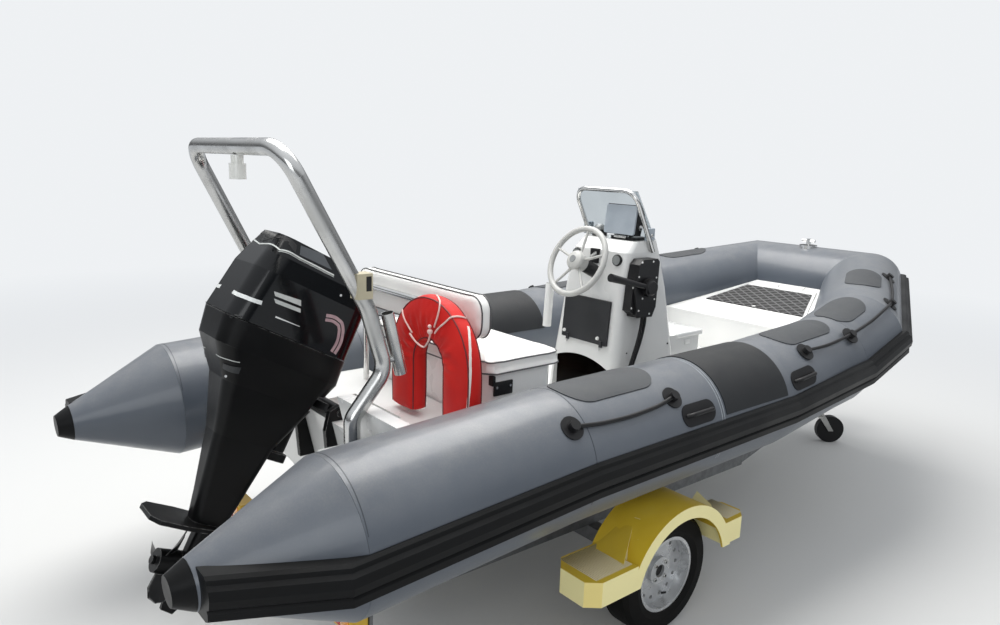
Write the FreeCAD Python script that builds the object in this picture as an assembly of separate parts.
import FreeCAD, Part
import math
import os

V = FreeCAD.Vector
os.makedirs("parts", exist_ok=True)

# Inflatable boat with a solid hull, console, seat and outboard motor, parked on its road trailer.
# Stations run forward from the tips of the stern cones, y to port, z up from the ground.
ORIGIN_X = 2739.66      # station under the middle of the whole
GAP = 1.0               # joint line between pieces that touch
BIG = 8000.0

# Buoyancy tube: centre line of one side as station, distance from the middle plane, height
TUBE_R = 262.0
BOW_R = TUBE_R - 14.0
TUBE_Y = 823.0
SEAM_X = 470.0
TUBE_PATH = [
    (SEAM_X, TUBE_Y, 853.0),
    (1380.0, TUBE_Y, 906.0),
    (2700.0, TUBE_Y, 922.0),
]
TAPER = (60.0, 560.0)   # run past the last row over which the tube narrows to the bow radius
BOW_A = (3439.0, TUBE_Y, 985.0)
BOW_B = (3779.0, 819.0, 1080.0)
BOW_C = (4691.0, 403.0, 1215.0)
CONE_TIP = (58.0, 794.0, 827.0)
CONE_TIP_R = 76.0
CAP_END = (0.0, 790.0, 824.0)
CAP_END_R = 46.0
BAND_X = (2165.0, 2640.0)
SKIN = 4.0
HANDLES = [(1, 612.0), (2, 112.0)]     # run of the tube and place along it
HANDLE_ANGLE = 26.0

# Anti-slip patches: run of the tube, from and to along it, angle above level, width
STEP_PATCHES = [
    (1, 12.0, 500.0, 86.0, 220.0),
    (2, 140.0, 620.0, 84.0, 190.0),
    (3, 10.0, 320.0, 87.0, 210.0),
    (4, 200.0, 570.0, 88.0, 200.0),
]

# Grab lines: run of the tube, along it, angle above level, height of the rope over the skin, 1 at a keeper
LINE_R = 8.0
GRAB_LINES = [
    [(0, 858.0, 45.0, 12.0, 1), (1, 60.0, 41.0, 10.0, 0), (1, 230.0, 39.5, 10.0, 0),
     (1, 400.0, 41.5, 10.0, 0), (1, 497.0, 45.5, 12.0, 1)],
    [(2, 228.0, 50.0, 12.0, 1), (2, 400.0, 46.5, 10.0, 0), (2, 655.0, 47.5, 12.0, 1),
     (3, 190.0, 47.5, 14.0, 0), (3, 352.0, 49.0, 24.0, 0),
     (4, 60.0, 50.0, 14.0, 1), (4, 332.0, 48.0, 11.0, 0),
     (4, 592.0, 54.0, 12.0, 1)],
]

# Rubbing strake: outward distance from the tube's centre line and height above it
STRAKE = [
    (TUBE_R - 57.0, 58.0),
    (TUBE_R, 60.0),
    (TUBE_R + 12.0, 52.0),
    (TUBE_R + 14.0, 38.0),
    (TUBE_R + 28.0, 28.0),
    (TUBE_R + 32.0, 0.0),
    (TUBE_R + 27.0, -26.0),
    (TUBE_R + 10.0, -38.0),
    (TUBE_R + 17.0, -46.0),
    (TUBE_R + 17.0, -68.0),
    (TUBE_R, -78.0),
    (TUBE_R - 57.0, -80.0),
]
STRAKE_START = (64.0, 607.0, 846.0)

# Hull: station, keel height, chine offset, chine height, side offset, side height
HULL_ROWS = [
    (770.0, 432.0, 640.0, 602.0, 775.0, 655.0),
    (2700.0, 436.0, 640.0, 612.0, 775.0, 700.0),
    (3300.0, 476.0, 615.0, 676.0, 760.0, 755.0),
    (3780.0, 590.0, 540.0, 780.0, 745.0, 890.0),
    (4200.0, 748.0, 420.0, 893.0, 570.0, 960.0),
    (4470.0, 905.0, 270.0, 965.0, 440.0, 1010.0),
    (4600.0, 1030.0, 130.0, 1035.0, 330.0, 1045.0),
]
SOLE_Z = 785.0
AFT_DECK_Z = 930.0
AFT_DECK_X = 1370.0
COAMING_X = 3050.0
COAMING_Y = 600.0
COAMING_Z = 900.0
BOW_DECK_X = (3800.0, 4460.0)
BOW_DECK_Z = 1020.0     # at its aft edge
BOW_DECK_RISE = 0.286
DECK_T = 20.0
TRANSOM_TOP = (790.0, 1100.0)
TRANSOM_FOOT = (950.0, 430.0)
TRANSOM_T = 60.0
TRANSOM_HALF = 260.0
TRANSOM_Z = 955.0
PLATFORM_X0 = 672.0
PLATFORM_Y = (330.0, 600.0)
PLATFORM_Z = (850.0, 930.0)
WELL_X1 = 1120.0
WELL_HALF = 200.0
WELL_Z = 800.0

# Bow hatch
HATCH_X = (3985.0, 4385.0)
HATCH_AFT_HALF = 398.0
HATCH_FWD_HALF = 250.0
MAT_T = 6.0
LOCKER_Z = 965.0
HINGE_Y = (-120.0, 60.0)
HINGE_R = 7.0

# Console: height, stations of its aft and front faces, offsets of its sides, corner radius
CONSOLE_ROWS = [
    (SOLE_Z + GAP, 2290.0, 2850.0, -315.0, 167.0, 45.0),
    (1380.0, 2336.0, 2690.0, -315.0, 108.0, 45.0),
    (1570.0, 2354.0, 2622.0, -312.0, 78.0, 45.0),
    (1625.0, 2412.0, 2604.0, -302.0, 66.0, 38.0),
]
CON_SIDE_Y = CONSOLE_ROWS[0][3]
CON_TOP_Z = CONSOLE_ROWS[3][0]
CONSOLE_MID = -118.0
RECESS_Y = (-262.0, 118.0)
RECESS_Z = 1010.0
RECESS_RISE = 40.0
RECESS_X = 2640.0
DOOR_Y = (-252.0, 70.0)
DOOR_Z = (1090.0, 1320.0)
DOOR_T = 12.0
LOCKER_EDGE = 18.0
LOCKER_DEPTH = 330.0
KNUCKLE_Y = (-226.0, 14.0)
BOX_X = (2780.0, 3090.0)
BOX_Y = (-265.0, 105.0)
BOX_Z = 1085.0

# Control box on the console's side and its two cables
CONTROL_Y = 66.0
CONTROL_HUB = (2440.0, 1405.0)
LEVER_TIP = (2145.0, 1478.0)
# Side outlines of its two housings as distance ahead of and above the hub
CONTROL_BACK = [(-65.0, -150.0), (50.0, -155.0), (76.0, -105.0), (84.0, 125.0), (68.0, 140.0), (-40.0, 140.0),
                (-68.0, 115.0), (-90.0, -5.0)]
CONTROL_SHOE = [(-102.0, -115.0), (-60.0, -143.0), (0.0, -143.0), (0.0, 35.0), (-88.0, 35.0)]
CABLE_R = 8.0
CABLES = [
    [(2482.0, -347.0, 1268.0), (2478.0, -347.0, 1195.0), (2455.0, -346.0, 1110.0),
     (2418.0, -344.0, 1020.0), (2385.0, -342.0, 930.0), (2372.0, -341.0, 850.0), (2370.0, -341.0, 790.0)],
    [(2455.0, -350.0, 1268.0), (2450.0, -350.0, 1195.0), (2428.0, -350.0, 1110.0),
     (2392.0, -350.0, 1020.0), (2358.0, -350.0, 930.0), (2344.0, -350.0, 850.0), (2340.0, -350.0, 790.0)],
]

# Display case: side outline as station and height over the console's top, and its sides
CASE_SIDE = [(2432.0, 26.0), (2476.0, 24.0), (2512.0, 174.0), (2452.0, 178.0)]
CASE_Y = (-284.0, -78.0)
COMPASS = (2490.0, 10.0)
COMPASS_R = 40.0

# Windscreen and its hoop
SCREEN_T = 5.0
SCREEN_ROWS = [(1627.0, 2640.0, 212.0, 95.0), (1872.0, 2488.0, 200.0, 85.0)]
SCREEN_Y = -86.0
HOOP_R = 12.0
HOOP_FOOT = (2530.0, 1572.0)
HOOP_TOP = (2398.0, 1874.0)
HOOP_Y = (-326.0, 93.0)     # at the feet
HOOP_LEAN = (32.0, 29.0)    # towards port, up to the top corners

# Steering wheel
WHEEL_CENTRE = (2200.0, -118.0, 1520.0)
WHEEL_R = 190.0
WHEEL_GRIP_R = 15.0
WHEEL_TILT = 25.0

# Seat
SEAT_X = (1380.0, 1750.0)
SEAT_HALF = 455.0
CUSHION_X = (1350.0, 1790.0)
CUSHION_HALF = 490.0
CUSHION_Z = (1130.0, 1205.0)
BACK_X = 1330.0
BACK_Z = (1285.0, 1480.0)
BACK_HALF = 500.0
BACK_T = 70.0

# Lifebuoy: horseshoe hung upright behind the backrest
BUOY_X = (1146.0, 1254.0)
BUOY_Y = TUBE_R - TUBE_Y + 241.0
BUOY_Z = (950.0, 1470.0)
BUOY_HALF = 285.0
BUOY_ARM = 185.0
BUOY_EDGE = 34.0

# Roll bar
BAR_R = 30.0
BAR_PATH = [
    (732.0, -485.0, PLATFORM_Z[1] + 9.0),
    (732.0, -485.0, 1085.0),
    (864.0, -492.0, 1250.0),
    (797.0, -486.0, 1480.0),
    (512.0, -445.0, 2026.0),
]
BAR_BEND = [60.0, 90.0, 200.0, 110.0]

# Rod holders: bore, wall, foot and lean of each tube
HOLDER_R = 21.0
HOLDER_WALL = 2.5
HOLDER_LENGTH = 240.0
HOLDER_LEAN = (-60.0, 0.0, 240.0)
CONSOLE_HOLDER = (2300.0, 1117.0)
BAR_BOX_Z = (1520.0, 1610.0)
LIGHT_Y = -60.0

# Outboard motor, in its own upright frame about the tilt pin
PIN_X = 860.0
PIN_Z = 985.0
PIN_R = 14.0
CLAMP_Y = (125.0, 150.0)
TILT_REST = 28.0
STEER_X = -110.0
PROP_Z = -752.0
PROP_X = -342.0
PROP_R = 150.0
PROP_BLADES = 3

# Motor housings as x0, x1, half width, corner radius and height
COWL_ROWS = [(-592, -55, 166, 80, 200), (-566, -62, 160, 78, 400), (-545, -74, 148, 76, 470),
             (-520, -185, 112, 56, 548)]
COWL_WALL = 8.0
SCOOP = (-470.0, -330.0, 78.0, 500.0)
LOWER_COWL_ROWS = [(-480, -80, 112, 50, -30), (-574, -40, 151, 70, 95), (-591, -54, 165, 79, 197)]
ENGINE_ROWS = [(-470, -120, 105, 40, 204), (-450, -150, 95, 40, 440)]
LEG_ROWS = [(-330, -190, 46, 30, -574), (-352, -176, 50, 30, -470), (-408, -152, 72, 34, -230),
            (-480, -80, 112, 50, -30)]
PLATE_OUTLINE = [(-170.0, 40.0), (-230.0, 84.0), (-360.0, 104.0), (-470.0, 98.0), (-500.0, 60.0)]
PLATE_Z = (-592.0, -575.0)
HUB_PROFILE = [(-296.0, 50.0), (-210.0, 52.0), (-150.0, 46.0), (-105.0, 30.0), (-84.0, 0.0)]
SKEG = [(-140.0, -30.0), (-288.0, -30.0), (-290.0, -120.0), (-282.0, -178.0), (-230.0, -190.0)]
SKEG_T = 16.0
BLADE_ROWS = [(40.0, 62.0, 56.0), (88.0, 112.0, 38.0), (125.0, 108.0, 28.0), (PROP_R, 40.0, 24.0)]
BLADE_T = 6.0
NUT_R = 16.0

# Road wheels and axle
AXLE_X = 1985.0
TYRE_R = 270.0
TYRE_HALF = 78.0
RIM_R = 178.0
RIM_SLOTS = 14
SLOT_RING = 128.0
SLOT_R = 9.0
TRACK_Y = 905.0
BEAM_Z = (262.0, 342.0)
BEAM_Y = (380.0, 440.0)

# Mudguards, and their steps as reach from the axle and offset from the outer edge
GUARD_R = 330.0
GUARD_OUT = 150.0
GUARD_IN = 105.0
GUARD_LIP = 42.0
GUARD_FOOT = 345.0
STEP_Z = 450.0
STEP_AFT = [(300.0, 0.0), (505.0, 0.0), (560.0, 45.0), (560.0, 175.0), (500.0, 235.0), (300.0, 235.0)]
STEP_FORE = [(300.0, 10.0), (425.0, 10.0), (476.0, 55.0), (476.0, 150.0), (430.0, 205.0), (300.0, 205.0)]

FRAME_X = (742.0, 3300.0)
ROLLERS = [1060.0, 2670.0, 3330.0, 3900.0]
ROLLER_R = 38.0
ROLLER_BORE = 9.0
BUNK_X = (1150.0, 2700.0)
BUNK_T = 36.0
POST_X = (1250.0, 2600.0)
LAMP_X = (655.0, 732.0)
LAMP_Y = (455.0, 605.0)
LAMP_Z = (305.0, 400.0)

# Jockey wheel
JACK_X = 4830.0
JACK_Y = -158.0
JACK_TURN = -40.0
JACK_FOOT = 242.0        # lower end of the outer tube
JOCKEY_R = 100.0
JOCKEY_TRAIL = 75.0

# Winch
WINCH_X = 5065.0
DRUM_Z = 812.0

# Coupling
BALL_X = 5440.0
BALL_Z = 430.0
BALL_R = 25.5
DRAWBAR_X = 4870.0


def at(x, y, z):
    """A point given by station, offset and height."""
    return V(x - ORIGIN_X, y, z)


def box(x0, x1, y0, y1, z0, z1):
    return Part.makeBox(x1 - x0, y1 - y0, z1 - z0, at(x0, y0, z0))


def rod(p, q, r):
    """Round bar between two points."""
    d = q - p
    return Part.makeCylinder(r, d.Length, p, d)


def cone(p, q, r1, r2):
    d = q - p
    return Part.makeCone(r1, r2, d.Length, p, d)


def prism_y(points, y0, y1):
    """Plate with a side outline of stations and heights, between two offsets."""
    wire = Part.makePolygon([at(x, y0, z) for x, z in points + points[:1]])
    return Part.Face(wire).extrude(V(0, y1 - y0, 0))


def prism_z(points, z0, z1):
    """Plate with a plan outline, between two heights."""
    wire = Part.makePolygon([at(x, y, z0) for x, y in points + points[:1]])
    return Part.Face(wire).extrude(V(0, 0, z1 - z0))


def port(shape):
    """The same piece on the other side of the middle plane."""
    return shape.mirror(V(0, 0, 0), V(0, 1, 0))


def both(shape):
    return [shape, port(shape)]


def fuse(shapes):
    out = shapes[0]
    if len(shapes) > 1:
        out = out.fuse(shapes[1:])
    out = out.removeSplitter()
    return out.Solids[0] if len(out.Solids) == 1 else out


def half_space(point, normal):
    """All that lies beyond a plane."""
    block = Part.makeBox(BIG, BIG, BIG, V(-BIG / 2, -BIG / 2, 0))
    block.Placement = FreeCAD.Placement(point, FreeCAD.Rotation(V(0, 0, 1), normal))
    return block


def path_wire(points, bends):
    """Polyline through the points with each inner corner rounded to its bend radius."""
    edges = []
    last = points[0]
    for i in range(1, len(points) - 1):
        a = (points[i - 1] - points[i]).normalize()
        b = (points[i + 1] - points[i]).normalize()
        turn = math.pi - a.getAngle(b)
        reach = bends[i - 1] * math.tan(turn / 2)
        p = points[i] + a * reach
        q = points[i] + b * reach
        mid_dir = (a + b).normalize()
        mid = points[i] + mid_dir * (bends[i - 1] / math.cos(turn / 2) - bends[i - 1])
        edges.append(Part.makeLine(last, p))
        edges.append(Part.Arc(p, mid, q).toShape())
        last = q
    edges.append(Part.makeLine(last, points[-1]))
    return Part.Wire(edges)


def bent_tube(points, bends, r):
    wire = path_wire(points, bends)
    d = points[1] - points[0]
    ring = Part.Wire(Part.makeCircle(r, points[0], d))
    return wire.makePipeShell([ring], True, False)


def rounded(x0, x1, half, r, z):
    """Rounded rectangle outline in plan, as stations, half width, corner radius and height."""
    pts = [(x0 + r, -half), (x1 - r, -half), (x1, -half + r), (x1, half - r)]
    pts += [(x1 - r, half), (x0 + r, half), (x0, half - r), (x0, -half + r)]
    mids = [(x1 - r, -half + r), (x1 - r, half - r), (x0 + r, half - r), (x0 + r, -half + r)]
    angles = [-45.0, 45.0, 135.0, 225.0]
    edges = []
    for k in range(4):
        p = at(pts[2 * k][0], pts[2 * k][1], z)
        q = at(pts[2 * k + 1][0], pts[2 * k + 1][1], z)
        s = at(pts[(2 * k + 2) % 8][0], pts[(2 * k + 2) % 8][1], z)
        a = math.radians(angles[k])
        m = at(mids[k][0] + r * math.cos(a), mids[k][1] + r * math.sin(a), z)
        edges.append(Part.makeLine(p, q))
        edges.append(Part.Arc(q, m, s).toShape())
    return Part.Wire(edges)


def stack(rows):
    """Solid through rounded outlines: rows of x0, x1, half width, corner radius, height."""
    return Part.makeLoft([rounded(*row) for row in rows], True, True)


def slab(x0, x1, y0, y1, z0, z1, r):
    """Flat pad with its upright corners rounded."""
    wire = rounded(x0, x1, (y1 - y0) / 2, r, z0)
    wire.translate(V(0, (y0 + y1) / 2, 0))
    return Part.Face(wire).extrude(V(0, 0, z1 - z0))


def turned(shape, centre, axis, angle):
    out = shape.copy()
    out.rotate(centre, axis, angle)
    return out


# Tubes
def corner(chain, i):
    """Direction across the joint at an inner point of a chain."""
    a = (chain[i] - chain[i - 1]).normalize()
    b = (chain[i + 1] - chain[i]).normalize()
    return (a + b).normalize()


def between(shape, p, n, q, m):
    """What lies past plane p, n and short of plane q, m."""
    return shape.cut(half_space(p, n * -1)).cut(half_space(q, m))


def lift(p, side):
    return at(p[0], side * p[1], p[2])


def tube_main(grow, seam):
    """Starboard tube from the cone seam to the first bow seam, narrowing before the bow."""
    pts = [lift(p, -1) for p in TUBE_PATH + [BOW_A, BOW_B]]
    first = (pts[1] - pts[0]).normalize()
    aft = Part.makeCylinder(TUBE_R + grow, (pts[1] - pts[0]).Length + 200, pts[0], first)
    n1 = corner(pts, 1)
    aft = aft.cut(half_space(pts[1], n1))
    d = (pts[2] - pts[1]).normalize()
    mid = Part.makeCylinder(TUBE_R + grow, (pts[2] - pts[1]).Length + 400, pts[1] - d * 200, d)
    n2 = corner(pts, 2)
    mid = between(mid, pts[1], n1, pts[2], n2)
    d = (pts[3] - pts[2]).normalize()
    r0, r1 = TUBE_R + grow, BOW_R + grow
    side = V(0, 1, 0)
    run = (pts[3] - pts[2]).Length + 300
    rows = [(-200, 0), (-200, r0), (TAPER[0], r0), (TAPER[1], r1), (run, r1), (run, 0)]
    outline = [pts[2] + d * t + side * r for t, r in rows]
    fore = Part.Face(Part.makePolygon(outline + outline[:1])).revolve(pts[2], d, 360)
    n3 = corner(pts, 3)
    fore = between(fore, pts[2], n2, pts[3] - n3 * seam, n3)
    return fuse([aft, mid, fore])


def tube_bow(grow, seam):
    """The five mitred lengths that close the bow."""
    side = [lift(p, -1) for p in (TUBE_PATH[2], BOW_A, BOW_B, BOW_C)]
    chain = side + [V(p.x, -p.y, p.z) for p in side[::-1]]
    runs = []
    for i in range(1, 6):
        p, q = chain[i], chain[i + 1]
        d = (q - p).normalize()
        run = Part.makeCylinder(BOW_R + grow, (q - p).Length + 4 * BOW_R, p - d * (2 * BOW_R), d)
        n, m = corner(chain, i), corner(chain, i + 1)
        off = [seam if i == 1 else 0.0, seam if i == 5 else 0.0]
        runs.append(between(run, p + n * off[0], n, q - m * off[1], m))
    return fuse(runs)


def strake():
    """Rubbing strake swept along both tubes and round the bow."""
    chain = [STRAKE_START] + TUBE_PATH + [BOW_A, BOW_B, BOW_C]
    pts = [lift(p, -1) for p in chain] + [at(BOW_C[0], 0.0, BOW_C[2])]
    d = (pts[2] - pts[1]).normalize()
    side = V(0, -1, 0)
    up = V(-d.z, 0, d.x)
    n = corner(pts, 1)
    ring = [pts[1] + side * a + up * b for a, b in STRAKE]
    ring = [p - d * ((p - pts[1]).dot(n) / d.dot(n)) for p in ring]
    d = (pts[1] - pts[0]).normalize()
    rings = [[p - d * ((p - pts[0]).x / d.x) for p in ring]]
    ring = rings[0]
    for i in range(len(pts) - 1):
        d = (pts[i + 1] - pts[i]).normalize()
        if i + 2 < len(pts):
            n = (d + (pts[i + 2] - pts[i + 1]).normalize()).normalize()
        else:
            n = V(0, 1, 0)
        ring = [p + d * (((pts[i + 1] - p).dot(n)) / d.dot(n)) for p in ring]
        rings.append(ring)
    rings += [[V(p.x, -p.y, p.z) for p in r] for r in rings[-2::-1]]
    faces = []
    count = len(STRAKE)
    for a, b in zip(rings, rings[1:]):
        for k in range(count):
            m = (k + 1) % count
            faces.append(Part.Face(Part.makePolygon([a[k], a[m], b[m], b[k], a[k]])))
    for r in (rings[0], rings[-1]):
        faces.append(Part.Face(Part.makePolygon(r + r[:1])))
    shell = Part.Shell(faces)
    body = Part.Solid(shell)
    if body.Volume < 0:
        body.reverse()
    return body


starboard_tube = tube_main(0.0, GAP / 2)
port_tube = port(starboard_tube)
bow_tube = tube_bow(0.0, GAP / 2)
envelope = [tube_main(GAP, 0.0), port(tube_main(GAP, 0.0)), tube_bow(GAP, 0.0)]
seam_dir = (lift(TUBE_PATH[1], -1) - lift(TUBE_PATH[0], -1)).normalize()


def stern_cone(grow):
    seam = lift(TUBE_PATH[0], -1) - seam_dir * (GAP - grow)
    rings = [
        Part.Wire(Part.makeCircle(TUBE_R + grow, seam, seam_dir)),
        Part.Wire(Part.makeCircle(CONE_TIP_R + grow, lift(CONE_TIP, -1), seam_dir)),
    ]
    return Part.makeLoft(rings, True, True)


def cone_cap():
    rings = [
        Part.Wire(Part.makeCircle(CONE_TIP_R, lift(CONE_TIP, -1) - seam_dir * GAP, seam_dir)),
        Part.Wire(Part.makeCircle(CAP_END_R, lift(CAP_END, -1), seam_dir)),
    ]
    return Part.makeLoft(rings, True, True)


def clear_of_tubes(shape):
    return shape.cut(envelope)


rub_strake = clear_of_tubes(strake()).cut([stern_cone(GAP), port(stern_cone(GAP))])


def tube_skin(x0, x1):
    """Thin layer over the starboard tube between two stations."""
    p, q = lift(TUBE_PATH[1], -1), lift(TUBE_PATH[2], -1)
    d = (q - p).normalize()
    outer = Part.makeCylinder(TUBE_R + SKIN, (q - p).Length, p, d)
    inner = Part.makeCylinder(TUBE_R + GAP / 2, (q - p).Length, p, d)
    return outer.cut(inner).common(box(x0, x1, -1300, 0, 0, 2000))


def chafe_band():
    band = tube_skin(*BAND_X)
    below = box(BAND_X[0] - 10, BAND_X[1] + 10, -1300, 0, 0, TUBE_PATH[2][2] + 70)
    return band.cut(below)


SIDE_CHAIN = [lift(p, -1) for p in TUBE_PATH + [BOW_A, BOW_B, BOW_C]]


def run_frame(i):
    """Start, direction, outward and upward unit vectors of one straight run of the tube."""
    p, q = SIDE_CHAIN[i], SIDE_CHAIN[i + 1]
    d = (q - p).normalize()
    out = V(d.y, -d.x, 0).normalize()
    return p, d, out, out.cross(d)


def run_radius(i):
    return TUBE_R if i < 3 else BOW_R


def on_skin(i, along, angle, height):
    """Point over run i, along it from its start, at an angle above the outward level."""
    p, d, out, up = run_frame(i)
    a = math.radians(angle)
    return p + d * along + (out * math.cos(a) + up * math.sin(a)) * (run_radius(i) + height)


SKIN_OUTER = [tube_main(SKIN, 0.0), tube_bow(SKIN, 0.0)]
SKIN_INNER = [tube_main(GAP / 2, 0.0), tube_bow(GAP / 2, 0.0)]


def skin_patch(i, a0, a1, angle, width, corner_r):
    """Glued-on patch with rounded ends, cut from a thin layer over the tube that run i is part of."""
    p, d, out, up = run_frame(i)
    r = run_radius(i)
    shell = SKIN_OUTER[0 if i < 3 else 1]
    a = math.radians(angle)
    n = out * math.cos(a) + up * math.sin(a)
    w = n.cross(d)
    half = width / 2
    x0, x1 = a0, a1
    corners = [(x0 + corner_r, -half), (x1 - corner_r, -half), (x1, -half + corner_r), (x1, half - corner_r),
               (x1 - corner_r, half), (x0 + corner_r, half), (x0, half - corner_r), (x0, -half + corner_r)]
    centres = [(x1 - corner_r, -half + corner_r), (x1 - corner_r, half - corner_r),
               (x0 + corner_r, half - corner_r), (x0 + corner_r, -half + corner_r)]
    base = p + n * (r / 2)
    place = [base + d * x + w * y for x, y in corners]
    edges = []
    for k in range(4):
        b, c, e = place[2 * k], place[2 * k + 1], place[(2 * k + 2) % 8]
        t = math.radians(-45 + 90 * k)
        cx, cy = centres[k]
        m = base + d * (cx + corner_r * math.cos(t)) + w * (cy + corner_r * math.sin(t))
        if (c - b).Length > 0.01:
            edges.append(Part.makeLine(b, c))
        edges.append(Part.Arc(c, m, e).toShape())
    block = Part.Face(Part.Wire(edges)).extrude(n * r)
    return shell.common(block).cut(SKIN_INNER)


def step_patches():
    out = []
    for i, a0, a1, angle, width in STEP_PATCHES:
        patch = skin_patch(i, a0, a1, angle, width, width / 2 - 6)
        out += both(patch)
    return Part.makeCompound(out)


def grab_line(points, r):
    """Rope laid on the tube between its two patches, with an arc at each inner point."""
    pts = [on_skin(*row[:4]) for row in points]
    bends = []
    for k in range(1, len(pts) - 1):
        a = (pts[k - 1] - pts[k])
        b = (pts[k + 1] - pts[k])
        turn = math.pi - a.getAngle(b)
        bends.append(0.45 * min(a.Length, b.Length) / math.tan(turn / 2))
    return bent_tube(pts, bends, r)


def grab_lines():
    return Part.makeCompound([s for line in GRAB_LINES for s in both(grab_line(line, LINE_R))])


def line_fittings():
    """Round patches with a moulded loop that the grab lines pass through."""
    out = []
    for line in GRAB_LINES:
        bore = grab_line(line, LINE_R + GAP)
        for i, along, angle, height, keeper in line:
            if not keeper:
                continue
            r = run_radius(i)
            _, d, _, _ = run_frame(i)
            centre = on_skin(i, along, angle, -r)
            n = (on_skin(i, along, angle, 0) - centre).normalize()
            base = Part.makeCylinder(46, SKIN + 2, on_skin(i, along, angle, -2), n)
            post = Part.makeCylinder(20, height + LINE_R + 8, on_skin(i, along, angle, 0), n)
            body = base.fuse(post).cut(bore)
            body = body.cut(Part.makeCylinder(r + GAP / 2, 800, centre - d * 400, d))
            out += both(body.removeSplitter())
    return Part.makeCompound(out)


# Hull with its sole, aft deck and bow block in one moulding
def hull_body():
    wires = []
    top = 1300.0
    for x, keel, yc, zc, ys, zs in HULL_ROWS:
        pts = [(0, keel), (yc, zc), (ys, zs), (ys, top), (-ys, top), (-ys, zs), (-yc, zc)]
        wires.append(Part.makePolygon([at(x, y, z) for y, z in pts + pts[:1]]))
    body = Part.makeLoft(wires, True, True)
    tx, tz = TRANSOM_TOP
    fx, fz = TRANSOM_FOOT
    lean = (fx - tx) / (tz - fz)
    aft = prism_y([(600, 200), (fx + 200 * lean, fz - 200), (tx - 100 * lean, tz + 100), (600, tz + 100)],
                  -900, 900)
    inside = tx + TRANSOM_T
    cuts = [
        aft,
        box(AFT_DECK_X, COAMING_X, -900, 900, SOLE_Z, 1400),
        box(COAMING_X, BOW_DECK_X[0], -COAMING_Y, COAMING_Y, SOLE_Z, 1400),
        prism_y([(COAMING_X, COAMING_Z), (BOW_DECK_X[0], BOW_DECK_Z), (BOW_DECK_X[0], 1400),
                 (COAMING_X, 1400)], -900, 900),
        deck_slab(-DECK_T, 400.0, BOW_DECK_X[0], 4750.0),
        prism_y([(inside + (tz - AFT_DECK_Z) * lean, AFT_DECK_Z), (inside - 300 * lean, tz + 300),
                 (AFT_DECK_X, tz + 300), (AFT_DECK_X, AFT_DECK_Z)], -900, 900),
        box(600, 900, -TRANSOM_HALF, TRANSOM_HALF, TRANSOM_Z, 1400),
        box(600, 900, -900, 900, tz, 1400),
        prism_y([(inside + (tz - WELL_Z) * lean, WELL_Z), (inside + (tz - 1000) * lean, 1000),
                 (WELL_X1, 1000), (WELL_X1, WELL_Z)], -WELL_HALF, WELL_HALF),
    ]
    body = body.cut(cuts)
    platforms = []
    for side in (-1, 1):
        y0, y1 = sorted((side * PLATFORM_Y[0], side * PLATFORM_Y[1]))
        platforms.append(box(PLATFORM_X0, 845, y0, y1, *PLATFORM_Z))
    body = body.fuse(platforms)
    body = clear_of_tubes(body)
    body = body.cut(prism_z(hatch_plan(-50.0), LOCKER_Z, 1400))
    keep = [s for s in body.Solids if s.Volume > 1e7]
    return keep[0] if len(keep) == 1 else Part.makeCompound(keep)


def deck_z(x):
    return BOW_DECK_Z + BOW_DECK_RISE * (x - BOW_DECK_X[0])


def deck_slab(low, high, x0, x1):
    """Slab parallel to the foredeck between two heights over it."""
    return prism_y([(x0, deck_z(x0) + low), (x1, deck_z(x1) + low), (x1, deck_z(x1) + high),
                    (x0, deck_z(x0) + high)], -760, 760)


def hatch_plan(out):
    x0, x1 = HATCH_X
    return [
        (x0 - out, -HATCH_AFT_HALF - out),
        (x1 + out, -HATCH_FWD_HALF - out),
        (x1 + out, HATCH_FWD_HALF + out),
        (x0 - out, HATCH_AFT_HALF + out),
    ]


def bow_deck():
    """Sloped deck panel round the hatch, cut to the tubes."""
    panel = deck_slab(GAP - DECK_T, 0.0, *BOW_DECK_X).cut(prism_z(hatch_plan(4.0), 900, 1400))
    x = HATCH_X[1] + 13
    strip = deck_slab(-4.0, 5.0, x, x + 34)
    leaves = [strip.common(box(x, x + 34, y - 24, y + 24, 900, 1400)) for y in HINGE_Y]
    deck = clear_of_tubes(fuse([panel] + leaves))
    return deck.cut([hinge_barrel(y, GAP) for y in HINGE_Y])


def hinge_barrel(y, grow):
    x = HATCH_X[1]
    z = deck_z(x) + 3
    return rod(at(x, y - 24 - grow, z), at(x, y + 24 + grow, z), HINGE_R + grow)


def bow_hatch():
    lid = deck_slab(GAP - DECK_T, 0.0, *BOW_DECK_X).common(prism_z(hatch_plan(-2.0), 900, 1400))
    x = HATCH_X[1]
    for y in HINGE_Y:
        leaf = deck_slab(-4.0, 5.0, x - 44, x + 1).common(box(x - 60, x + 20, y - 24, y + 24, 900, 1400))
        lid = lid.fuse([leaf, hinge_barrel(y, 0.0)])
    return lid.removeSplitter()


def bow_mat():
    mat = deck_slab(0.5, 0.5 + MAT_T, *BOW_DECK_X)
    x0, x1 = HATCH_X[0] + 27, HATCH_X[1] - 55
    aft, fwd = HATCH_AFT_HALF - 32, HATCH_FWD_HALF - 4
    plan = [(x0, -aft), (x1, -fwd), (x1, fwd), (x0, aft)]
    grip = Part.makeCylinder(17, 400, at(x0 + 22, 0, 900))
    return mat.common(prism_z(plan, 900, 1400)).cut(grip)


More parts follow.
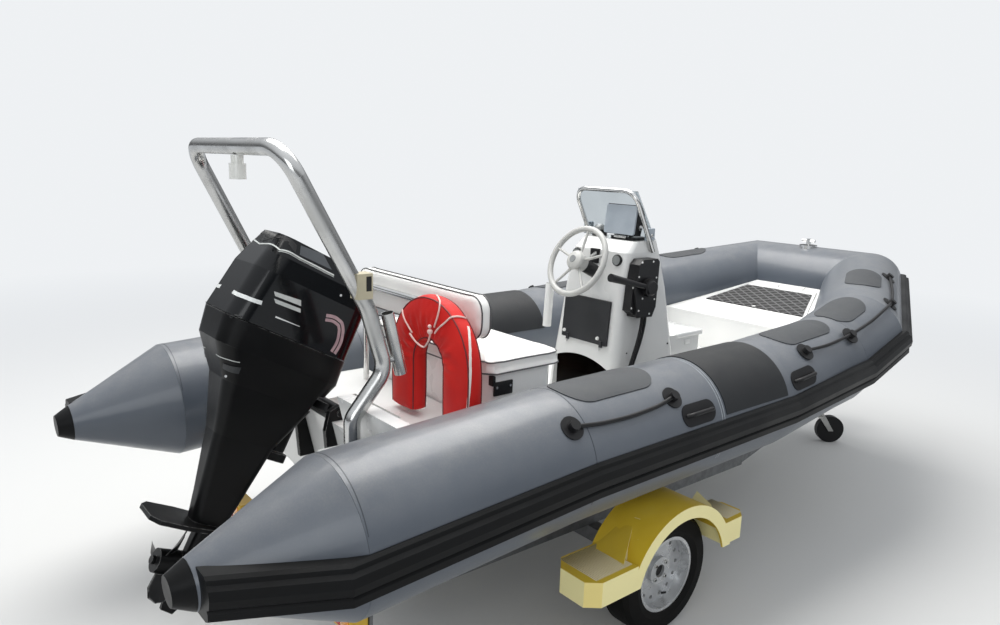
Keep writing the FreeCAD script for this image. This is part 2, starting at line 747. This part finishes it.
# Console
def console_body():
    wires = []
    for z, x0, x1, y0, y1, r in CONSOLE_ROWS:
        wire = rounded(x0, x1, (y1 - y0) / 2, r, z)
        wire.translate(V(0, (y0 + y1) / 2, 0))
        wires.append(wire)
    body = Part.makeLoft(wires, True, True)
    z0 = CONSOLE_ROWS[0][0]
    front = slab(*BOX_X, *BOX_Y, z0, BOX_Z, 35)
    y0, y1 = RECESS_Y
    spring = RECESS_Z - RECESS_RISE
    x = CONSOLE_ROWS[0][1] - 60
    arch = Part.Arc(at(x, y0, spring), at(x, (y0 + y1) / 2, RECESS_Z), at(x, y1, spring)).toShape()
    legs = Part.makePolygon([at(x, y1, spring), at(x, y1, z0 - 5), at(x, y0, z0 - 5), at(x, y0, spring)])
    recess = Part.Face(Part.Wire([arch] + legs.Edges)).extrude(V(RECESS_X - x, 0, 0))
    e = LOCKER_EDGE
    locker = box(x, x + LOCKER_DEPTH, DOOR_Y[0] + e, DOOR_Y[1] - e, DOOR_Z[0] + e, DOOR_Z[1] - e)
    knuckles = []
    for y in KNUCKLE_Y:
        x, z = door_axis()
        knuckles.append(rod(at(x, y + 20, z), at(x, y + 34, z), 5))
        knuckles.append(box(x, x + 30, y + 20, y + 34, z - 22, z))
    return fuse([body, front] + knuckles).cut([recess, locker])


def door_axis():
    """Station and height of the door's hinge pins."""
    return aft_face(DOOR_Z[0]) - GAP - DOOR_T, DOOR_Z[0] - 8


def aft_face(z):
    """Station of the console's aft face at a height."""
    for low, high in zip(CONSOLE_ROWS, CONSOLE_ROWS[1:]):
        if z <= high[0]:
            break
    t = (z - low[0]) / (high[0] - low[0])
    return low[1] + t * (high[1] - low[1])


def console_door():
    x0, x1 = aft_face(DOOR_Z[0]), aft_face(DOOR_Z[1])
    pts = [(x0 - GAP, DOOR_Z[0]), (x1 - GAP, DOOR_Z[1]), (x1 - GAP - DOOR_T, DOOR_Z[1]),
           (x0 - GAP - DOOR_T, DOOR_Z[0])]
    x, z = door_axis()
    parts = [prism_y(pts, DOOR_Y[0], DOOR_Y[1])]
    for y in KNUCKLE_Y:
        parts.append(rod(at(x, y, z), at(x, y + 18, z), 5))
        parts.append(box(x - 5, x + 5, y, y + 18, z, z + 30))
    return fuse(parts)


def steering_wheel():
    c = at(*WHEEL_CENTRE)
    a = math.radians(WHEEL_TILT)
    axis = V(math.cos(a), 0, -math.sin(a))
    rim = Part.makeTorus(WHEEL_R - WHEEL_GRIP_R, WHEEL_GRIP_R, c, axis)
    hub = Part.makeCylinder(42, 56, c - axis * 16, axis)
    parts = [rim, hub]
    up = V(math.sin(a), 0, math.cos(a))
    side = V(0, 1, 0)
    for k in range(5):
        t = math.radians(90 + 72 * k)
        d = side * math.cos(t) + up * math.sin(t)
        parts.append(rod(c + axis * 8 + d * 30, c + d * (WHEEL_R - WHEEL_GRIP_R), 7))
    return fuse(parts)


def column():
    """Steering boss between the console face and the wheel."""
    c = at(*WHEEL_CENTRE)
    a = math.radians(WHEEL_TILT)
    axis = V(math.cos(a), 0, -math.sin(a))
    stub = Part.makeCylinder(34, 190, c + axis * 46, axis)
    return stub.cut(console_shape)


console_shape = console_body()


def throttle():
    """Control box on the console's side, hub and lever pushed half ahead."""
    y1 = CON_SIDE_Y - GAP
    y0 = y1 - CONTROL_Y + GAP
    x, z = CONTROL_HUB
    back = prism_y([(x + along, z + rise) for along, rise in CONTROL_BACK], y0, y1)
    shoe = prism_y([(x + along, z + rise) for along, rise in CONTROL_SHOE], y0 + 14, y1)
    hub = rod(at(x, y0, z), at(x, y0 - 30, z), 46)
    tip = at(LEVER_TIP[0], y0 - 18, LEVER_TIP[1])
    root = at(x, y0 - 18, z)
    d = (tip - root).normalize()
    arm = rod(root, tip - d * 150, 14)
    grip = cone(tip - d * 170, tip, 15, 20)
    body = fuse([back, shoe, hub, arm, grip])
    sockets = [rod(at(*route[0]) + V(0, 0, 2), at(*route[1]), CABLE_R + GAP) for route in CABLES]
    return body.cut(sockets)


def control_cables():
    """Two sheathed cables down the console's side into the sole."""
    out = []
    for route in CABLES:
        pts = [at(*p) for p in route]
        bends = []
        for k in range(1, len(pts) - 1):
            a, b = pts[k - 1] - pts[k], pts[k + 1] - pts[k]
            turn = math.pi - a.getAngle(b)
            bends.append(0.45 * min(a.Length, b.Length) / math.tan(turn / 2))
        out.append(bent_tube(pts, bends, CABLE_R))
    return Part.makeCompound(out)


def screen_block(inset):
    """Solid that the screen's face bounds, taken in by inset and running aft past the hoop."""
    aft = HOOP_TOP[0] - 300
    rows = [(aft + inset, x1 - inset, half - inset, r - inset, z) for z, x1, half, r in SCREEN_ROWS]
    block = stack(rows)
    block.translate(V(0, SCREEN_Y, 0))
    return block


def windscreen():
    """Screen bent round the console's front, open aft and cut along the hoop."""
    body = screen_block(0.0).cut(screen_block(SCREEN_T))
    fx, fz = HOOP_FOOT
    tx, tz = HOOP_TOP
    n = V(-(tz - fz), 0, tx - fx).normalize()
    body = body.cut(half_space(at(fx, 0, fz) - n * (HOOP_R + GAP), n))
    return body.cut(console_shape)


def windscreen_rail():
    fx, fz = HOOP_FOOT
    tx, tz = HOOP_TOP
    y0, y1 = HOOP_Y
    pts = [at(fx, y0, fz), at(tx, y0 + HOOP_LEAN[0], tz), at(tx, y1 + HOOP_LEAN[1], tz), at(fx, y1, fz)]
    hoop = bent_tube(pts, [75.0, 75.0], HOOP_R)
    studs = [rod(at(fx, y, fz + 14), at(fx, CONSOLE_MID, fz + 14), 9) for y in (y0, y1)]
    return fuse([hoop] + [stud.cut(console_shape) for stud in studs])


def dash():
    """Display on its bracket, rounded off to clear the screen, and the compass."""
    z = CON_TOP_Z + GAP
    x, y = CASE_SIDE[0][0], sum(CASE_Y) / 2
    foot = slab(x + 13, x + 128, y - 80, y + 80, z, z + 14, 20)
    stem = box(x + 46, x + 88, y - 20, y + 20, z, z + 40)
    case = prism_y([(x, z + rise) for x, rise in CASE_SIDE], *CASE_Y).common(screen_block(SCREEN_T + GAP))
    compass = rod(at(*COMPASS, z), at(*COMPASS, z + 34), COMPASS_R)
    return Part.makeCompound([fuse([foot, stem, case]), compass])


# Seat and backrest
def seat_base():
    return slab(SEAT_X[0], SEAT_X[1], -SEAT_HALF, SEAT_HALF, SOLE_Z + GAP, CUSHION_Z[0] - GAP, 60)


def cushion():
    return slab(CUSHION_X[0], CUSHION_X[1], -CUSHION_HALF, CUSHION_HALF, CUSHION_Z[0], CUSHION_Z[1], 70)


def backrest():
    x0 = BACK_X - BACK_T / 2
    wire = rounded(BACK_Z[0], BACK_Z[1], BACK_HALF, 70, 0)
    pad = Part.Face(wire).extrude(V(0, 0, BACK_T))
    pad.rotate(at(0, 0, 0), V(0, 1, 0), -90)
    pad.translate(V(x0 + BACK_T, 0, 0))
    return pad


def back_frame():
    x = BACK_X - BACK_T / 2 - 16
    pts = [at(x, -380, AFT_DECK_Z + GAP), at(x, -380, 1400), at(x, 380, 1400), at(x, 380, AFT_DECK_Z + GAP)]
    return bent_tube(pts, [90.0, 90.0], 14.0)


def lifebuoy():
    """Horseshoe buoy, open below, with its edges rounded off."""
    x0, x1 = BUOY_X
    low, high = BUOY_Z
    spring = high - BUOY_HALF
    edges = []
    y = BUOY_Y
    outer, inner = BUOY_HALF, BUOY_HALF - BUOY_ARM
    edges.append(Part.makeLine(at(x0, y - outer, low), at(x0, y - outer, spring)))
    edges.append(Part.Arc(at(x0, y - outer, spring), at(x0, y, high), at(x0, y + outer, spring)).toShape())
    edges.append(Part.makeLine(at(x0, y + outer, spring), at(x0, y + outer, low)))
    edges.append(Part.makeLine(at(x0, y + outer, low), at(x0, y + inner, low)))
    edges.append(Part.makeLine(at(x0, y + inner, low), at(x0, y + inner, spring)))
    bow = Part.Arc(at(x0, y + inner, spring), at(x0, y, spring + inner), at(x0, y - inner, spring))
    edges.append(bow.toShape())
    edges.append(Part.makeLine(at(x0, y - inner, spring), at(x0, y - inner, low)))
    edges.append(Part.makeLine(at(x0, y - inner, low), at(x0, y - outer, low)))
    plate = Part.Face(Part.Wire(edges)).extrude(V(x1 - x0, 0, 0))
    return plate.makeFillet(BUOY_EDGE, plate.Edges).cut(tube_main(GAP, 0.0))


# Roll bar
def roll_bar(grow=0.0):
    side = [at(*p) for p in BAR_PATH]
    pts = side + [V(p.x, -p.y, p.z) for p in side[::-1]]
    bends = BAR_BEND + BAR_BEND[::-1]
    bar = bent_tube(pts, bends, BAR_R + grow)
    feet = []
    for s in (-1, 1):
        foot = Part.makeCylinder(52, 9 - GAP, at(BAR_PATH[0][0], s * BAR_PATH[0][1], PLATFORM_Z[1] + GAP))
        feet.append(foot)
    return fuse([bar] + feet)


def rod_tube(foot, lean):
    """Open tube with its bore, from a foot point along a leaning direction."""
    top = foot + lean * HOLDER_LENGTH
    tube = rod(foot, top, HOLDER_R + HOLDER_WALL)
    return tube.cut(rod(foot + lean * 8, top + lean, HOLDER_R))


def rod_holders():
    """Holders clamped to the lower legs of the roll bar."""
    foot = at(BAR_PATH[2][0] + 68, BAR_PATH[2][1] + 2, BAR_PATH[2][2] - 25)
    lean = V(*HOLDER_LEAN).normalize()
    tube = rod_tube(foot, lean)
    grip = rod(foot + lean * 60 - V(62, 0, 0), foot + lean * 60, 12)
    holder = fuse([tube, grip]).cut(rod(foot + lean * 8, foot + lean * 400, HOLDER_R))
    return Part.makeCompound(both(holder.cut(arch_shape)))


def console_rod_holder():
    x, z = CONSOLE_HOLDER
    foot = at(x, CONSOLE_ROWS[0][4] + HOLDER_R + 1, z)
    tube = rod_tube(foot, V(0, -0.05, 1).normalize())
    return tube.cut(console_shape)


def bar_box():
    """Small instrument box clipped on the starboard leg."""
    x, y = BAR_PATH[3][0], BAR_PATH[3][1]
    return box(x - 55, x + 3, y - 32, y + 24, *BAR_BOX_Z).cut(roll_bar(GAP / 2))


arch_shape = roll_bar()


# Outboard motor pieces, built upright about the tilt pin
def motor(shape):
    """Move a piece from the motor's own frame to its rest tilt on the transom."""
    out = shape.copy()
    out.translate(V(PIN_X, 0, PIN_Z))
    out.rotate(at(PIN_X, 0, PIN_Z), V(0, 1, 0), TILT_REST)
    return out


def clamp_bracket():
    tx, tz = TRANSOM_TOP
    lean = (TRANSOM_FOOT[0] - tx) / (tz - TRANSOM_FOOT[1])
    face = tx + (tz - TRANSOM_Z) * lean
    low = tx + (tz - 720.0) * lean
    plates = []
    for s in (-1, 1):
        y0, y1 = sorted((s * CLAMP_Y[0], s * CLAMP_Y[1]))
        pts = [(low - 70, 720), (low - GAP, 720), (face - GAP, TRANSOM_Z + GAP),
               (face + TRANSOM_T + 8, TRANSOM_Z + GAP), (face + TRANSOM_T + 28, 870),
               (face + TRANSOM_T + 58, 870), (face + TRANSOM_T + 40, 985), (PIN_X, 1018),
               (face - 10, 1000), (face - 30, 920)]
        plates.append(prism_y(pts, y0, y1))
    end = CLAMP_Y[1] + 6
    pin = rod(at(PIN_X, -end, PIN_Z), at(PIN_X, end, PIN_Z), PIN_R)
    return fuse(plates + [pin])


def swivel_bracket():
    tube = Part.makeCylinder(30, 262, at(STEER_X, 0, -238))
    end = CLAMP_Y[0] - 6
    eye = rod(at(0, -end, 0), at(0, end, 0), 28)
    plan = [(STEER_X, 30.0), (STEER_X + 40, 42.0), (STEER_X + 75, 84.0), (0.0, end)]
    web = prism_z(plan + [(x, -y) for x, y in plan[::-1]], -20, 12)
    body = fuse([tube, eye, web])
    body = body.cut(rod(at(0, -200, 0), at(0, 200, 0), PIN_R + 0.6))
    return motor(body)


def engine_leg():
    """Mid section with the steering yoke that holds the swivel tube above and below."""
    mid = stack(LEG_ROWS)
    top = stack([(-220, STEER_X + 45, 44, 20, 34), (-220, STEER_X + 45, 44, 20, 84)])
    low = stack([(-220, STEER_X + 40, 40, 20, -276), (-220, STEER_X + 40, 40, 20, -243)])
    pan = stack(LOWER_COWL_ROWS)
    swing = rod(at(STEER_X, 0, -241), at(STEER_X, 0, 32), 78)
    web = box(STEER_X, 60, -170, 170, -40, 32)
    body = fuse([mid, pan]).cut([swing, web])
    return motor(fuse([body, top, low]))


def cowl():
    """Open-bottomed hood with the air scoop in its top."""
    w = COWL_WALL
    inner = [(x0 + w, x1 - w, half - w, r - w, z) for x0, x1, half, r, z in COWL_ROWS[:-1]]
    x0, x1, half, r, z = COWL_ROWS[-1]
    inner.append((x0 + w, x1 - w, half - w, r - w, z - 2 * w))
    inner[0] = inner[0][:4] + (COWL_ROWS[0][4] - 1,)
    shell = stack(COWL_ROWS).cut(stack(inner))
    s0, s1, half, low = SCOOP
    return motor(shell.cut(slab(s0, s1, -half, half, low, z + 20, 30)))


def engine_block():
    return motor(stack(ENGINE_ROWS))


def gearcase():
    plate = prism_z(PLATE_OUTLINE + [(x, -y) for x, y in PLATE_OUTLINE[::-1]], *PLATE_Z)
    strut = stack([(-288, -150, 34, 20, PROP_Z), (-290, -175, 36, 20, PLATE_Z[0])])
    outline = [at(x, r, PROP_Z) for x, r in HUB_PROFILE]
    outline = [at(HUB_PROFILE[0][0], 0, PROP_Z)] + outline
    case = Part.Face(Part.makePolygon(outline + outline[:1])).revolve(at(0, 0, PROP_Z), V(1, 0, 0), 360)
    skeg = prism_y([(x, PROP_Z + z) for x, z in SKEG], -SKEG_T / 2, SKEG_T / 2)
    return motor(fuse([plate, strut, case, skeg]))


def propeller():
    """Hub with three blades, each through four twisted sections from root to tip."""
    hub = cone(at(-302, 0, PROP_Z), at(-384, 0, PROP_Z), 50, 45)
    nut = rod(at(-384, 0, PROP_Z), at(-400, 0, PROP_Z), NUT_R)
    blades = []
    for k in range(PROP_BLADES):
        wires = []
        for r, chord, pitch in BLADE_ROWS:
            a = math.radians(pitch)
            along = V(math.sin(a), math.cos(a), 0)
            thick = V(math.cos(a), -math.sin(a), 0) * (BLADE_T / 2)
            c = at(PROP_X, 0, PROP_Z + r)
            ends = [c - along * (chord / 2), c + thick, c + along * (chord / 2), c - thick]
            wires.append(Part.makePolygon(ends + ends[:1]))
        blade = Part.makeLoft(wires, True, True)
        blade.rotate(at(PROP_X, 0, PROP_Z), V(1, 0, 0), 360.0 * k / PROP_BLADES + 20)
        blades.append(blade)
    return motor(fuse([hub, nut] + blades))


# Trailer
def hull_under(y):
    """Height of the hull's flat run at an offset."""
    x, keel, yc, zc, ys, zs = HULL_ROWS[0]
    return keel + (zc - keel) * abs(y) / yc


def roller_centre(x):
    """Height of the roller axle that keeps the roller a joint line under the keel."""
    for low, high in zip(HULL_ROWS, HULL_ROWS[1:]):
        if x <= high[0]:
            break
    rise = (high[1] - low[1]) / (high[0] - low[0])
    keel = low[1] + rise * (x - low[0])
    return keel - (ROLLER_R + GAP) * math.sqrt(1 + rise * rise)


def frame():
    parts = []
    z0, z1 = BEAM_Z
    for s in (-1, 1):
        y0, y1 = sorted((s * BEAM_Y[0], s * BEAM_Y[1]))
        parts.append(box(FRAME_X[0], FRAME_X[1] + 20, y0, y1, z0, z1))
        a = at(FRAME_X[1], s * 410, 0)
        b = at(DRAWBAR_X + 110, s * 62, 0)
        d = (b - a).normalize()
        n = V(-d.y, d.x, 0)
        corners = [a + n * 30, b + n * 30, b - n * 30, a - n * 30]
        wire = Part.makePolygon([V(p.x, p.y, z0) for p in corners + corners[:1]])
        parts.append(Part.Face(wire).extrude(V(0, 0, z1 - z0)))
        for x in POST_X:
            y0, y1 = sorted((s * 385, s * 435))
            parts.append(box(x - 25, x + 25, y0, y1, z1 - 5, hull_under(385) - BUNK_T - GAP))
        y0, y1 = sorted((s * BEAM_Y[0], s * LAMP_Y[1]))
        parts.append(box(LAMP_X[1] + GAP, FRAME_X[0] + 5, y0, y1, LAMP_Z[0] - 20, LAMP_Z[1] - 20))
    for x in ROLLERS[:3]:
        parts.append(box(x - 30, x + 30, -440, 440, z0, z1))
    for x in ROLLERS:
        z = roller_centre(x)
        for s in (-1, 1):
            y0, y1 = sorted((s * 62, s * 70))
            parts.append(box(x - 25, x + 25, y0, y1, z1 - 40, z + 14))
        parts.append(rod(at(x, -78, z), at(x, 78, z), ROLLER_BORE))
    x = ROLLERS[3]
    parts.append(box(x - 30, x + 30, -290, 290, z0, z1))
    parts.append(box(DRAWBAR_X - 10, DRAWBAR_X + 130, -85, 85, z0, z1))
    parts.append(drawbar())
    return fuse(parts)


def drawbar():
    """Cranked beam from the frame's nose up to the coupling."""
    z0, z1 = BEAM_Z
    x0, x1, end = DRAWBAR_X, DRAWBAR_X + 130, BALL_X - 80
    low = BALL_Z - 58
    return prism_y([(x0, z0), (x1, z0), (end, low), (end, low + 70), (x1 - 10, z1), (x0, z1)], -35, 35)


def keel_rollers():
    out = []
    for x in ROLLERS:
        z = roller_centre(x)
        p, q = at(x, -58, z), at(x, 58, z)
        out.append(rod(p, q, ROLLER_R).cut(rod(p, q, ROLLER_BORE + GAP)))
    return Part.makeCompound(out)


def bunk():
    y0, y1 = -460.0, -360.0
    pts = [(y0, hull_under(y0) - GAP), (y1, hull_under(y1) - GAP),
           (y1, hull_under(y1) - GAP - BUNK_T), (y0, hull_under(y0) - GAP - BUNK_T)]
    wire = Part.makePolygon([at(BUNK_X[0], y, z) for y, z in pts + pts[:1]])
    pad = Part.Face(wire).extrude(V(BUNK_X[1] - BUNK_X[0], 0, 0))
    flat = box(BUNK_X[0] - 5, BUNK_X[1] + 5, y0 - 5, y1 + 5, 300, hull_under(385) - BUNK_T)
    return pad.cut(flat)


def rear_lamp():
    return slab(LAMP_X[0], LAMP_X[1], -LAMP_Y[1], -LAMP_Y[0], LAMP_Z[0], LAMP_Z[1], 12)


def axle():
    end = TRACK_Y - 125
    beam = box(AXLE_X + 60, AXLE_X + 130, -end, end, BEAM_Z[0] - 72, BEAM_Z[0] - GAP)
    arms = []
    for s in (-1, 1):
        y0, y1 = sorted((s * (end - 25), s * (end + 10)))
        arms.append(prism_y([(AXLE_X + 130, 190), (AXLE_X + 130, 261), (AXLE_X - 30, 305),
                             (AXLE_X - 35, 240)], y0, y1))
        arms.append(rod(at(AXLE_X, s * end, TYRE_R), at(AXLE_X, s * (TRACK_Y - 30), TYRE_R), 26))
    return fuse([beam] + arms)


def rim(s):
    c = TRACK_Y
    outer = rod(at(AXLE_X, s * (c - 70), TYRE_R), at(AXLE_X, s * (c + 65), TYRE_R), RIM_R - 8)
    bore = rod(at(AXLE_X, s * (c + 12), TYRE_R), at(AXLE_X, s * (c + 80), TYRE_R), RIM_R - 22)
    inner = rod(at(AXLE_X, s * (c - 80), TYRE_R), at(AXLE_X, s * (c + 2), TYRE_R), RIM_R - 22)
    hub = rod(at(AXLE_X, s * (c - 28), TYRE_R), at(AXLE_X, s * (c + 30), TYRE_R), 62)
    hole = rod(at(AXLE_X, s * (c - 100), TYRE_R), at(AXLE_X, s * (c + 100), TYRE_R), 29)
    slots = []
    for k in range(RIM_SLOTS):
        a = 2 * math.pi * k / RIM_SLOTS
        x, z = AXLE_X + SLOT_RING * math.cos(a), TYRE_R + SLOT_RING * math.sin(a)
        slots.append(rod(at(x, s * (c - 10), z), at(x, s * (c + 20), z), SLOT_R))
    return fuse([outer.cut([bore, inner]), hub]).cut([hole] + slots)


def tyre(s):
    c = TRACK_Y
    prof = [(RIM_R - 7, -68), (RIM_R + 20, -TYRE_HALF), (TYRE_R - 18, -TYRE_HALF + 6), (TYRE_R, -56),
            (TYRE_R, 56), (TYRE_R - 18, TYRE_HALF - 6), (RIM_R + 20, TYRE_HALF), (RIM_R - 7, 68)]
    pts = [at(AXLE_X, s * c + y, TYRE_R + r) for r, y in prof]
    face = Part.Face(Part.makePolygon(pts + pts[:1]))
    return face.revolve(at(AXLE_X, 0, TYRE_R), V(0, 1, 0), 360)


def mudguard():
    """Arched guard with an outer flange, and a step at each end."""
    y0, y1 = -TRACK_Y - GUARD_OUT, -TRACK_Y + GUARD_IN
    r = GUARD_R
    ring = rod(at(AXLE_X, y0, TYRE_R), at(AXLE_X, y1, TYRE_R), r + 12)
    ring = ring.cut(rod(at(AXLE_X, y0 + 10, TYRE_R), at(AXLE_X, y1 + 12, TYRE_R), r))
    ring = ring.cut(rod(at(AXLE_X, y0 - 12, TYRE_R), at(AXLE_X, y1 + 12, TYRE_R), r - GUARD_LIP))
    ring = ring.cut(box(AXLE_X - 500, AXLE_X + 500, -1300, 0, -300, GUARD_FOOT))
    steps = []
    for s, rows in ((-1, STEP_AFT), (1, STEP_FORE)):
        plan = [(AXLE_X + s * reach, y0 + offset) for reach, offset in rows]
        steps.append(prism_z(plan, GUARD_FOOT, STEP_Z))
    return fuse([ring] + steps)


def coupling():
    sock = rod(at(BALL_X, 0, BALL_Z - 30), at(BALL_X, 0, BALL_Z + 42), 42)
    shank = box(BALL_X - 140, BALL_X, -46, 46, BALL_Z + 13, BALL_Z + 60)
    ball = Part.makeSphere(BALL_R, at(BALL_X, 0, BALL_Z))
    mouth = rod(at(BALL_X, 0, BALL_Z - 60), at(BALL_X, 0, BALL_Z), BALL_R)
    return fuse([sock, shank]).cut([ball, mouth])


trailer = frame()


def jockey(shape):
    return turned(shape, at(JACK_X, JACK_Y, 0), V(0, 0, 1), JACK_TURN)


def jack_tube():
    outer = rod(at(JACK_X, JACK_Y, JACK_FOOT), at(JACK_X, JACK_Y, 760), 29)
    bore = rod(at(JACK_X, JACK_Y, 200), at(JACK_X, JACK_Y, 740), 25)
    clamp = box(JACK_X - 30, JACK_X + 30, JACK_Y, -85, 290, 330).cut(trailer)
    clamp = max(clamp.Solids, key=lambda solid: solid.Volume)
    crank = fuse([rod(at(JACK_X, JACK_Y, 758), at(JACK_X, JACK_Y, 790), 9),
                  rod(at(JACK_X, JACK_Y, 785), at(JACK_X, JACK_Y - 130, 785), 8)])
    return fuse([outer, clamp, crank]).cut(bore)


def jack_stem():
    return rod(at(JACK_X, JACK_Y, 205), at(JACK_X, JACK_Y, 560), 24)


def jack_fork():
    head = rod(at(JACK_X, JACK_Y, 190), at(JACK_X, JACK_Y, 204), 30)
    arm = prism_y([(JACK_X - 25, 203), (JACK_X + 25, 203), (JACK_X + JOCKEY_TRAIL + 18, 92),
                   (JACK_X + JOCKEY_TRAIL - 18, 92)], JACK_Y - 40, JACK_Y - 32)
    top = box(JACK_X - 25, JACK_X + 25, JACK_Y - 40, JACK_Y + 25, 190, 203)
    x = JACK_X + JOCKEY_TRAIL
    pin = rod(at(x, JACK_Y - 42, JOCKEY_R), at(x, JACK_Y + 30, JOCKEY_R), 8)
    return jockey(fuse([head, arm, top, pin]))


def jockey_wheel():
    x = JACK_X + JOCKEY_TRAIL
    disc = rod(at(x, JACK_Y - 24, JOCKEY_R), at(x, JACK_Y + 24, JOCKEY_R), JOCKEY_R)
    return jockey(disc.cut(rod(at(x, JACK_Y - 50, JOCKEY_R), at(x, JACK_Y + 50, JOCKEY_R), 9)))


def winch_post():
    post = box(WINCH_X - 30, WINCH_X + 30, -30, 30, 350, 760)
    foot = box(WINCH_X - 60, WINCH_X + 60, -42, 42, 350, 372)
    plates = [box(WINCH_X - 45, WINCH_X + 45, y, y + 5, 740, 860) for y in (-48, 43)]
    plate = box(WINCH_X - 45, WINCH_X + 45, -48, 48, 736, 744)
    body = fuse([post, foot, plate] + plates)
    hole = rod(at(WINCH_X, -60, DRUM_Z), at(WINCH_X, 60, DRUM_Z), 9)
    return body.cut([hole, drawbar()])


def winch_drum():
    core = rod(at(WINCH_X, -40, DRUM_Z), at(WINCH_X, 40, DRUM_Z), 22)
    shaft = rod(at(WINCH_X, -42, DRUM_Z), at(WINCH_X, 62, DRUM_Z), 8)
    arm = fuse([box(WINCH_X - 8, WINCH_X + 150, 60, 66, DRUM_Z - 9, DRUM_Z + 9),
                rod(at(WINCH_X + 138, 66, DRUM_Z), at(WINCH_X + 138, 160, DRUM_Z), 13)])
    return fuse([core, shaft, arm])


# Small fittings on the tubes
def side_handle(i, along):
    """Oval base glued on the starboard tube, with a grip bridging it."""
    base = skin_patch(i, along - 105, along + 105, HANDLE_ANGLE, 92, 44)
    pts = [on_skin(i, along + s, HANDLE_ANGLE, h) for s, h in ((-78, 2), (-62, 26), (62, 26), (78, 2))]
    grip = bent_tube(pts, [14.0, 14.0], 9.0)
    return base.fuse(grip).cut(SKIN_INNER).removeSplitter()


def bollard():
    z = BOW_C[2] + BOW_R
    base = rod(at(BOW_C[0] - 25, 0, z - 20), at(BOW_C[0] - 25, 0, z + 12), 60)
    post = rod(at(BOW_C[0] - 25, 0, z), at(BOW_C[0] - 25, 0, z + 55), 16)
    bar = rod(at(BOW_C[0] - 25, -48, z + 42), at(BOW_C[0] - 25, 48, z + 42), 10)
    return fuse([base, post, bar]).cut(bow_tube)


def stern_light():
    x, _, z = BAR_PATH[4]
    base = rod(at(x, LIGHT_Y, z - 61), at(x, LIGHT_Y, z - 31), 22)
    lens = rod(at(x, LIGHT_Y, z - 116), at(x, LIGHT_Y, z - 60), 30)
    return fuse([base, lens])


nodes = {}
nodes["hull"] = hull_body()
nodes["bow_deck"] = bow_deck()
nodes["bow_hatch"] = bow_hatch()
nodes["bow_mat"] = bow_mat()
nodes["tube_starboard"] = starboard_tube
nodes["tube_port"] = port_tube
nodes["tube_bow"] = bow_tube
nodes["stern_cones"] = Part.makeCompound(both(stern_cone(0.0)))
nodes["cone_caps"] = Part.makeCompound(both(cone_cap()))
nodes["rub_strake"] = rub_strake
nodes["chafe_bands"] = Part.makeCompound(both(chafe_band()))
nodes["console"] = console_shape
nodes["console_door"] = console_door()
nodes["steering_wheel"] = steering_wheel()
nodes["throttle_box"] = throttle()
nodes["windscreen"] = windscreen()
nodes["windscreen_rail"] = windscreen_rail()
nodes["dash_instruments"] = Part.makeCompound(dash().Solids + [column()])
nodes["control_cables"] = control_cables()
nodes["seat_base"] = seat_base()
nodes["seat_cushion"] = cushion()
nodes["backrest_pad"] = backrest()
nodes["backrest_frame"] = back_frame()
nodes["lifebuoy"] = lifebuoy()
nodes["roll_bar"] = arch_shape
nodes["rod_holders"] = rod_holders()
nodes["console_rod_holder"] = console_rod_holder()
nodes["bar_box"] = bar_box()
nodes["clamp_bracket"] = clamp_bracket()
nodes["swivel_bracket"] = swivel_bracket()
nodes["engine_leg"] = engine_leg()
nodes["engine_cowl"] = cowl()
nodes["engine_block"] = engine_block()
nodes["gearcase"] = gearcase()
nodes["propeller"] = propeller()
nodes["trailer_frame"] = trailer
nodes["axle"] = axle()
nodes["rim_starboard"] = rim(-1)
nodes["rim_port"] = rim(1)
nodes["tyre_starboard"] = tyre(-1)
nodes["tyre_port"] = tyre(1)
nodes["mudguards"] = Part.makeCompound(both(mudguard()))
nodes["coupling"] = coupling()
nodes["jack_tube"] = jack_tube()
nodes["jack_stem"] = jack_stem()
nodes["jack_fork"] = jack_fork()
nodes["jockey_wheel"] = jockey_wheel()
nodes["winch_post"] = winch_post()
nodes["keel_rollers"] = keel_rollers()
nodes["hull_bunks"] = Part.makeCompound(both(bunk()))
nodes["rear_lamps"] = Part.makeCompound(both(rear_lamp()))
nodes["winch_drum"] = winch_drum()
handles = [side_handle(i, along) for i, along in HANDLES]
nodes["side_handles"] = Part.makeCompound(handles + [port(h) for h in handles])
nodes["step_patches"] = step_patches()
nodes["grab_lines"] = grab_lines()
nodes["line_fittings"] = line_fittings()
nodes["tow_bollard"] = bollard()
nodes["stern_light"] = stern_light()

for name, shape in nodes.items():
    shape.exportStep("parts/" + name + ".step")
